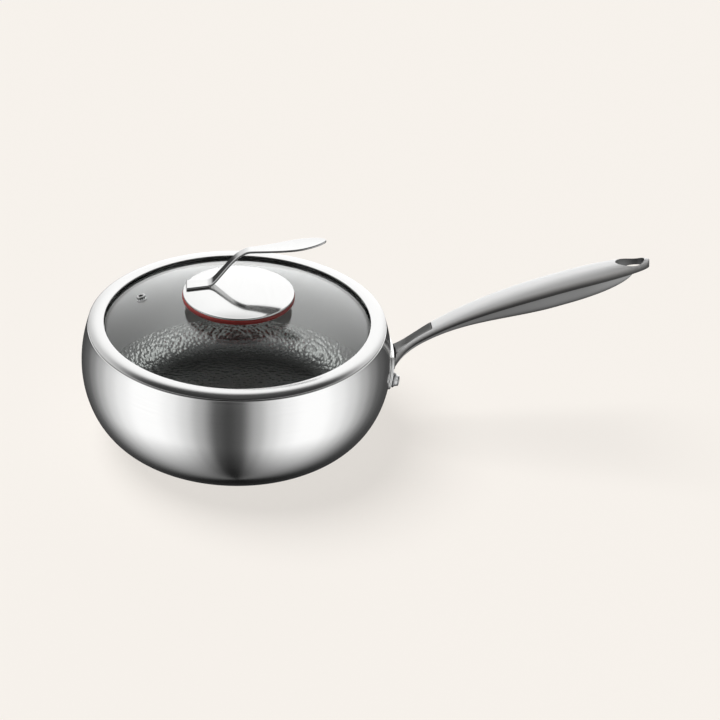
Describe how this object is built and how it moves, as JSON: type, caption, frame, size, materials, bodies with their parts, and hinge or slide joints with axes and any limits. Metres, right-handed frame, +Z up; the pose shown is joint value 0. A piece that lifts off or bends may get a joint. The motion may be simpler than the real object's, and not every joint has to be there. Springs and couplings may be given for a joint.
{
  "type": "saucepan with lid",
  "caption": "Round-bellied stainless steel saucepan with a long hollow handle and a steel-banded glass lid with a leaf-shaped knob.",
  "frame": {"origin": "centre of the base, on the surface that the pot stands on", "axes": "+X along the handle, +Z up through the middle of the lid"},
  "size_m": [0.3803, 0.2084, 0.1389],
  "materials": {
    "satin_steel": "satin, brushed round the pot",
    "polished_steel": "mirror polished",
    "fastener_steel": "plain turned",
    "aluminium_core": "rolled",
    "lid_glass": "clear, faint grey-green",
    "red_silicone": "satin",
    "dark_silicone": "matte"
  },
  "bodies": {
    "pot": {"pot_shell": "satin_steel", "base_spreader": "aluminium_core", "base_cap": "satin_steel", "handle_bracket": "satin_steel", "handle_upper_shell": "satin_steel", "handle_lower_shell": "satin_steel", "rivet_front": "fastener_steel", "rivet_rear": "fastener_steel"},
    "lid": {"lid_band": "polished_steel", "lid_glass": "lid_glass", "glass_seal": "dark_silicone", "steam_vent": "polished_steel", "knob_base": "red_silicone", "knob_plate": "polished_steel", "knob_leaf": "polished_steel", "knob_insert": "fastener_steel", "knob_gasket": "dark_silicone", "knob_washer": "fastener_steel", "knob_screw": "fastener_steel"}
  },
  "joints": [
    {"name": "lid_lift", "type": "slide", "parent": "pot", "child": "lid", "axis": [0, 0, 1], "range_m": [0, 0.15]}
  ]
}
